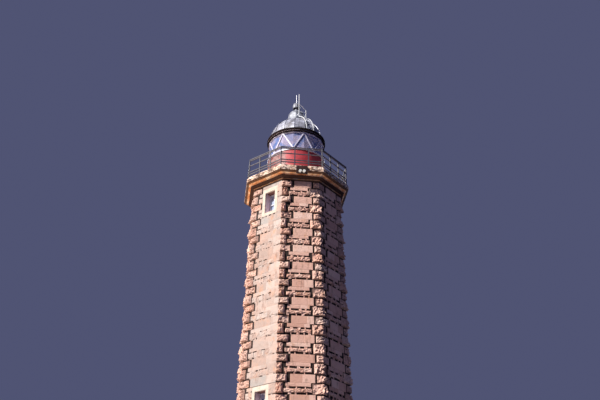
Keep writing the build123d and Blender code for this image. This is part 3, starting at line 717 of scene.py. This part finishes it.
# The CAD nodes that each material covers
COVERED = {
    "joint_fill_and_shade": [f"{name}_wall" for name in SIDE_NAMES] + ["front_wall_piers", "back_wall_piers"],
    "pink_stone": ["plinth"],
    "pale_stone": ["window_surrounds", "door_surround"],
    "cornice_stone": ["cornice"],
    "gallery_stone": ["gallery_deck"],
    "floor_stone": ["ground_floor", "door_step"],
    "white_paint": ["window_frames"],
    "door_paint": ["door_frame", "entrance_door"],
    "railing_paint": [f"{name}_railing" for name in SIDE_NAMES] + ["railing_corner_posts"],
    "red_paint": ["lantern_drum", "lantern_door"],
    "grey_paint": ["lantern_sill", "lens_pedestal"],
    "bar_paint": ["glazing_bars"],
    "banded_paint": ["gutter_ring"],
    "dark_metal": ["lamp_housing"],
    "dome_metal": ["dome"],
    "hood_metal": ["dome_hood", "ventilator"],
    "rod_metal": ["lightning_rod", "roof_ladder"],
    "window_glass": ["window_glass"],
    "lantern_glass": ["lantern_glass"],
    "lens_glass": ["lens"],
    "lamp_glass": ["twin_lamps"],
}
for key, names in COVERED.items():
    for name in names:
        mesh = NODES[name].data
        mesh.materials.clear()
        mesh.materials.append(MATERIALS[key])


def zone_on(side, node, low, high):
    """Rectangle that a node's vertices between two heights cover on a side."""
    out, right = side_axes(side)
    along, heights = zip(*(
        (v.co.x * right[0] + v.co.y * right[1], v.co.z)
        for v in NODES[node].data.vertices
        if v.co.x * out[0] + v.co.y * out[1] > wall_apothem(v.co.z) - OUTLINE_DEPTH
        and low <= v.co.z <= high
    ))
    return (min(along), max(along), min(heights), max(heights))


def zones_of(side):
    """The rectangles that the openings and their surrounds cover on a side."""
    if side not in DRESSED_SIDES:
        return []
    zones = [zone_on(side, "window_surrounds", *heights) for heights in WINDOW_HEIGHTS]
    if side == FRONT:
        zones.append(zone_on(side, "door_surround", *DOOR_HEIGHTS))
    return zones


def cut_around(rect, zones, least=LEAST_PIECE):
    """The pieces of a rectangle that lie outside every zone."""
    parts = [rect]
    for zone in zones:
        rest = []
        for s0, s1, z0, z1 in parts:
            if zone[0] >= s1 or zone[1] <= s0 or zone[2] >= z1 or zone[3] <= z0:
                rest.append((s0, s1, z0, z1))
                continue
            low, high = max(z0, zone[2]), min(z1, zone[3])
            rest += [(s0, s1, z0, low), (s0, s1, high, z1)]
            rest += [(s0, zone[0], low, high), (zone[1], s1, low, high)]
        parts = [r for r in rest if r[1] - r[0] > least and r[3] - r[2] > least]
    return parts


def course_layers():
    """Each layer of the shaft from the top down: bottom, top and kind."""
    layers = []
    top = COURSE_TOP + COURSE_STEP
    while top > PLINTH_TOP:
        layers += [
            (top + LOWER_HEIGHT, top - THIN_HEIGHT + COURSE_STEP, "tall"),
            (top, top + LOWER_HEIGHT, "low"),
            (top - THIN_HEIGHT, top, "thin"),
        ]
        top -= COURSE_STEP
    layers += [
        (top + LOWER_HEIGHT, top - THIN_HEIGHT + COURSE_STEP, "tall"),
        (PLINTH_TOP, top + LOWER_HEIGHT, "low"),
    ]
    return [
        (max(low, PLINTH_TOP), min(high, SHAFT_TOP), kind)
        for low, high, kind in layers
        if high > PLINTH_TOP + LEAST_LAYER and low < SHAFT_TOP - LEAST_LAYER
    ]


def quoin_levels():
    """Bottom, top and kind of each corner stone: a thin layer and the low one on it share one."""
    levels = []
    for low, high, kind in LAYERS:
        if kind == "thin":
            levels[-1] = (low, levels[-1][1], "bold")
        else:
            levels.append((low, high, kind))
    return levels


LAYERS = course_layers()
ZONES = [zones_of(side) for side in range(SIDES)]


def arm_length(side, kind, at_left, low, high):
    """Length of a corner stone's arm on a side, at its left or right edge."""
    long_at_left = kind == "tall"
    arm = LONG_ARM if long_at_left == at_left else SHORT_ARM
    half = half_width(low, high)
    for zone in ZONES[side]:
        if zone[2] < high and zone[3] > low:
            room = half + zone[0] if at_left else half - zone[1]
            arm = min(arm, room - ARM_CLEARANCE)
    return arm


def split_run(rng, start, end, shortest, longest):
    """Cuts a run into stones of uneven length, each given by its ends."""
    cuts = [start]
    while end - cuts[-1] > longest:
        cuts.append(cuts[-1] + rng.uniform(shortest, longest))
    if end - cuts[-1] < shortest * LEAST_REST and len(cuts) > 1:
        cuts.pop()
    return list(zip(cuts, cuts[1:] + [end]))


def paleness(side, s0, s1, z0, z1):
    """How cream a stone is: the masonry of the dressed sides, and most of all at the openings."""
    if side not in DRESSED_SIDES:
        return 0.0
    s, z = (s0 + s1) / 2, (z0 + z1) / 2
    for zone in ZONES[side]:
        across = max(zone[0] - s, s - zone[1], 0)
        along = max(zone[2] - z, z - zone[3], 0)
        if across < CREAM_BESIDE and along < CREAM_ABOVE:
            return 1.0 - across
    return CREAM_FACE


def lay_rubble(stones, side, place, run, rows, style):
    """A thin course: a row of rubble between two gaps that packing stones break up."""
    rng = stones.rng
    for left, right in split_run(rng, *run, *STONE_LENGTHS["thin"]):
        low = rows[0] + rng.uniform(*style.rubble_gaps)
        high = rows[1] - rng.uniform(*style.rubble_gaps)
        for s0, s1, z0, z1 in cut_around((left, right, low, high), ZONES[side]):
            stand = WALL_STAND + rng.uniform(0.0, style.rubble_stand)
            stones.add(
                place, (s0 + RUBBLE_JOINT, s1 - RUBBLE_JOINT), (z0, z1), stand * RUBBLE_RIM,
                stand, style.rubble_rough, *RUBBLE_GRID, paleness(side, s0, s1, z0, z1),
            )
    gap = style.rubble_gaps[1]
    for low, high in ((rows[0], rows[0] + gap), (rows[1] - gap, rows[1])):
        at = run[0] + rng.uniform(0.0, STOP_START)
        while at < run[1] - STOP_ROOM:
            width = min(rng.choice(style.stop_widths), run[1] - at)
            stop = (at, at + width, low, high)
            for s0, s1, z0, z1 in cut_around(stop, ZONES[side], LEAST_STOP):
                stones.add(
                    place, (s0, s1), (z0, z1), style.stop_rim, WALL_STAND,
                    style.rubble_rough / 2, *STOP_GRID, paleness(side, s0, s1, z0, z1),
                )
            at += width + rng.choice(style.stop_spaces) * rng.uniform(*STOP_STRETCH)


def lay_side(side):
    """All the stones of one side of the shaft between its corner stones."""
    stones = Stones(FACE_SEED + side)
    rng = stones.rng
    place = on_side(side, wall_apothem)
    dressed = side in DRESSED_SIDES
    style = DRESSED if dressed else RAKED
    for low, high, kind in LAYERS:
        half = half_width(low, high)
        start = -half + arm_length(side, kind, True, low, high)
        end = half - (UNDER_ARM if dressed else arm_length(side, kind, False, low, high))
        if kind == "thin":
            lay_rubble(stones, side, place, (start, end), (low, high), style)
            continue
        for left, right in split_run(rng, start, end, *STONE_LENGTHS[kind]):
            for s0, s1, z0, z1 in cut_around((left, right, low, high), ZONES[side]):
                left_gap = style.end_gaps[0] if s0 == start else style.joint
                right_gap = style.end_gaps[1] if s1 == end else style.joint
                stand = WALL_STAND + rng.uniform(*style.block_stand)
                stones.add(
                    place, (s0 + left_gap, s1 - right_gap),
                    (z0 + style.joint, z1 - style.joint), stand - style.block_rim, stand,
                    BLOCK_ROUGH, *BLOCK_GRID, paleness(side, s0, s1, z0, z1),
                )
    stones.build(f"{SIDE_NAMES[side]}_stones", "pink_stone")


def lay_quoin(stones, place, corner, low, high, kind):
    """One rock-faced corner stone, with a smooth left arm where that lies on a dressed side."""
    rng = stones.rng
    style = BOLD_QUOIN if kind == "bold" else PLAIN_QUOIN
    smooth_arm = corner in DRESSED_SIDES
    left_arm = arm_length(corner, kind, False, low, high)
    right_arm = arm_length((corner + 1) % SIDES, kind, True, low, high)
    stand = rng.uniform(*style.stand) * (FLAT_CORNER if corner == FRONT_RIGHT else 1.0)
    lean = rng.uniform(*style.lean)
    twist = rng.uniform(-QUOIN_TWIST, QUOIN_TWIST)
    cream = rng.uniform(0.0, QUOIN_CREAM)
    left_cut, right_cut = (rng.uniform(0.0, style.cut) for _ in range(2))
    left_gap = SMOOTH_GAP if smooth_arm else QUOIN_JOINT + left_cut
    span = (-left_arm + left_gap, right_arm - QUOIN_JOINT - right_cut)
    rows = (low + QUOIN_JOINT + rng.uniform(0, QUOIN_LIFT), high - QUOIN_JOINT)
    middle = (low + high) / 2

    def by_arm(s, rock, smooth):
        """The rock's value, and the smooth arm's where there is one."""
        share = np.clip(-s / SMOOTH_TURN, 0, 1) if smooth_arm else np.zeros_like(s)
        return rock + (smooth - rock) * share

    def stand_at(s, z):
        rock = stand + lean * (z - middle) / LEAN_HEIGHT + twist * s / TWIST_LENGTH
        return by_arm(s, rock, SMOOTH_STAND)

    stones.add(
        place, span, rows, QUOIN_RIM, stand_at, lambda s: by_arm(s, style.rough, BLOCK_ROUGH),
        *style.grid, lambda s: by_arm(s, cream, CREAM_FACE), fine=True,
    )


def lay_corner(corner):
    """The stones up one corner."""
    stones = Stones(CORNER_SEED + corner)
    place = round_corner(corner, wall_apothem)
    for low, high, kind in quoin_levels():
        lay_quoin(stones, place, corner, low, high, kind)
    stones.build(f"{SIDE_NAMES[corner]}_corner_quoins", "pink_stone")


def lay_plinth():
    """Courses of large blocks round the plinth, open at the door."""
    stones = Stones(PLINTH_SEED)
    flat_top = max(
        v.co.z for v in NODES["plinth"].data.vertices if v.co.x > PLINTH_APOTHEM - NEAR
    )
    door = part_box("door_step")
    half = PLINTH_APOTHEM * math.tan(HALF_TURN)
    for side in range(SIDES):
        place = on_side(side, lambda z: PLINTH_APOTHEM)
        zones = [(door[0].x, door[1].x, 0, PLINTH_TOP)] if side == FRONT else []
        for course in range(PLINTH_COURSES):
            low = course * flat_top / PLINTH_COURSES
            high = (course + 1) * flat_top / PLINTH_COURSES
            for left, right in split_run(stones.rng, -half, half, *PLINTH_LENGTHS):
                for s0, s1, z0, z1 in cut_around((left, right, low, high), zones):
                    stones.add(
                        place, (s0 + PLINTH_JOINT, s1 - PLINTH_JOINT),
                        (z0 + PLINTH_JOINT, z1 - PLINTH_JOINT), PLINTH_RIM, PLINTH_STAND,
                        PLINTH_ROUGH, *PLINTH_GRID,
                    )
    stones.build("plinth_stones", "pink_stone")


for side in range(SIDES):
    lay_side(side)
    lay_corner(side)
lay_plinth()


# The camera that took the photo, fitted to the tower: its bearing from the axis, its distance,
# its shift to the right, its pitch, roll and focal length in pixels of the photo's width
CAMERA_BEARING = math.radians(38.10)
CAMERA_DISTANCE = 37.193
CAMERA_SHIFT = 0.247
EYE_HEIGHT = 1.6
CAMERA_PITCH = math.radians(30.08)
CAMERA_ROLL = math.radians(0.44)
FOCAL_PIXELS = 773.1
FRAME_WIDTH = 600
SENSOR_WIDTH = 36.0
CLIP_END = 400


def add_camera():
    right = Vector((math.cos(CAMERA_BEARING), math.sin(CAMERA_BEARING), 0))
    back = Vector((math.sin(CAMERA_BEARING), -math.cos(CAMERA_BEARING), 0))
    up = Vector((0, 0, 1))
    forward = -back * math.cos(CAMERA_PITCH) + up * math.sin(CAMERA_PITCH)
    above = back * math.sin(CAMERA_PITCH) + up * math.cos(CAMERA_PITCH)
    across = right * math.cos(CAMERA_ROLL) + above * math.sin(CAMERA_ROLL)
    above = -right * math.sin(CAMERA_ROLL) + above * math.cos(CAMERA_ROLL)
    data = bpy.data.cameras.new("photo_camera")
    data.sensor_width = SENSOR_WIDTH
    data.lens = FOCAL_PIXELS / FRAME_WIDTH * SENSOR_WIDTH
    data.clip_end = CLIP_END
    camera = bpy.data.objects.new("photo_camera", data)
    bpy.context.scene.collection.objects.link(camera)
    turn = Matrix((across, above, -forward)).transposed()
    where = back * CAMERA_DISTANCE + right * CAMERA_SHIFT + up * EYE_HEIGHT
    camera.matrix_world = Matrix.Translation(where) @ turn.to_4x4()
    bpy.context.scene.camera = camera


# Three suns over a dim blue surround: a warm key from the photo's upper left, a broad fill from
# behind the tower, and a broad warm one from below, as the ground throws it back. Bearings are
# counted as the sides are; bearings, heights and softness are in degrees.
Sun = namedtuple("Sun", ["name", "bearing", "height", "strength", "softness", "colour"])
SUNS = [
    Sun("key", bearing=-14.9, height=39, strength=7.1, softness=4, colour=(1.0, 0.95, 0.88)),
    Sun("fill", bearing=215, height=35, strength=1.8, softness=40, colour=(0.9, 0.95, 1.0)),
    Sun("bounce", bearing=-50, height=-45, strength=3.0, softness=60, colour=(1.0, 0.8, 0.6)),
]
SURROUND = (0.08, 0.088, 0.172)


def add_light():
    for sun in SUNS:
        data = bpy.data.lights.new(sun.name, "SUN")
        data.energy = sun.strength
        data.angle = math.radians(sun.softness)
        data.color = sun.colour
        light = bpy.data.objects.new(sun.name, data)
        bpy.context.scene.collection.objects.link(light)
        bearing, height = math.radians(sun.bearing), math.radians(sun.height)
        level = math.cos(height)
        towards = Vector((
            math.sin(bearing) * level, -math.cos(bearing) * level, math.sin(height),
        ))
        light.rotation_mode = "QUATERNION"
        light.rotation_quaternion = towards.to_track_quat("Z", "Y")
    world = bpy.data.worlds.new("studio")
    world.use_nodes = True
    world.node_tree.nodes["Background"].inputs["Color"].default_value = (*SURROUND, 1)
    bpy.context.scene.world = world
    bpy.context.scene.view_settings.view_transform = "Standard"


# The floor is a round disc
FLOOR_RADIUS = 10
FLOOR_CORNERS = 64


def add_floor():
    m = Shader("pale_floor", roughness=0.8)
    m.drive("Base Color", m.ramp(
        m.noise(0.4, detail=3), [(0.3, (0.50, 0.50, 0.49)), (0.7, (0.53, 0.53, 0.52))]
    ))
    mesh = bpy.data.meshes.new("floor")
    turns = [2 * math.pi * i / FLOOR_CORNERS for i in range(FLOOR_CORNERS)]
    rim = [(FLOOR_RADIUS * math.cos(a), FLOOR_RADIUS * math.sin(a), 0) for a in turns]
    mesh.from_pydata(rim, [], [tuple(range(FLOOR_CORNERS))])
    mesh.materials.append(m.material)
    floor = bpy.data.objects.new("floor", mesh)
    bpy.context.scene.collection.objects.link(floor)


add_camera()
add_light()
add_floor()
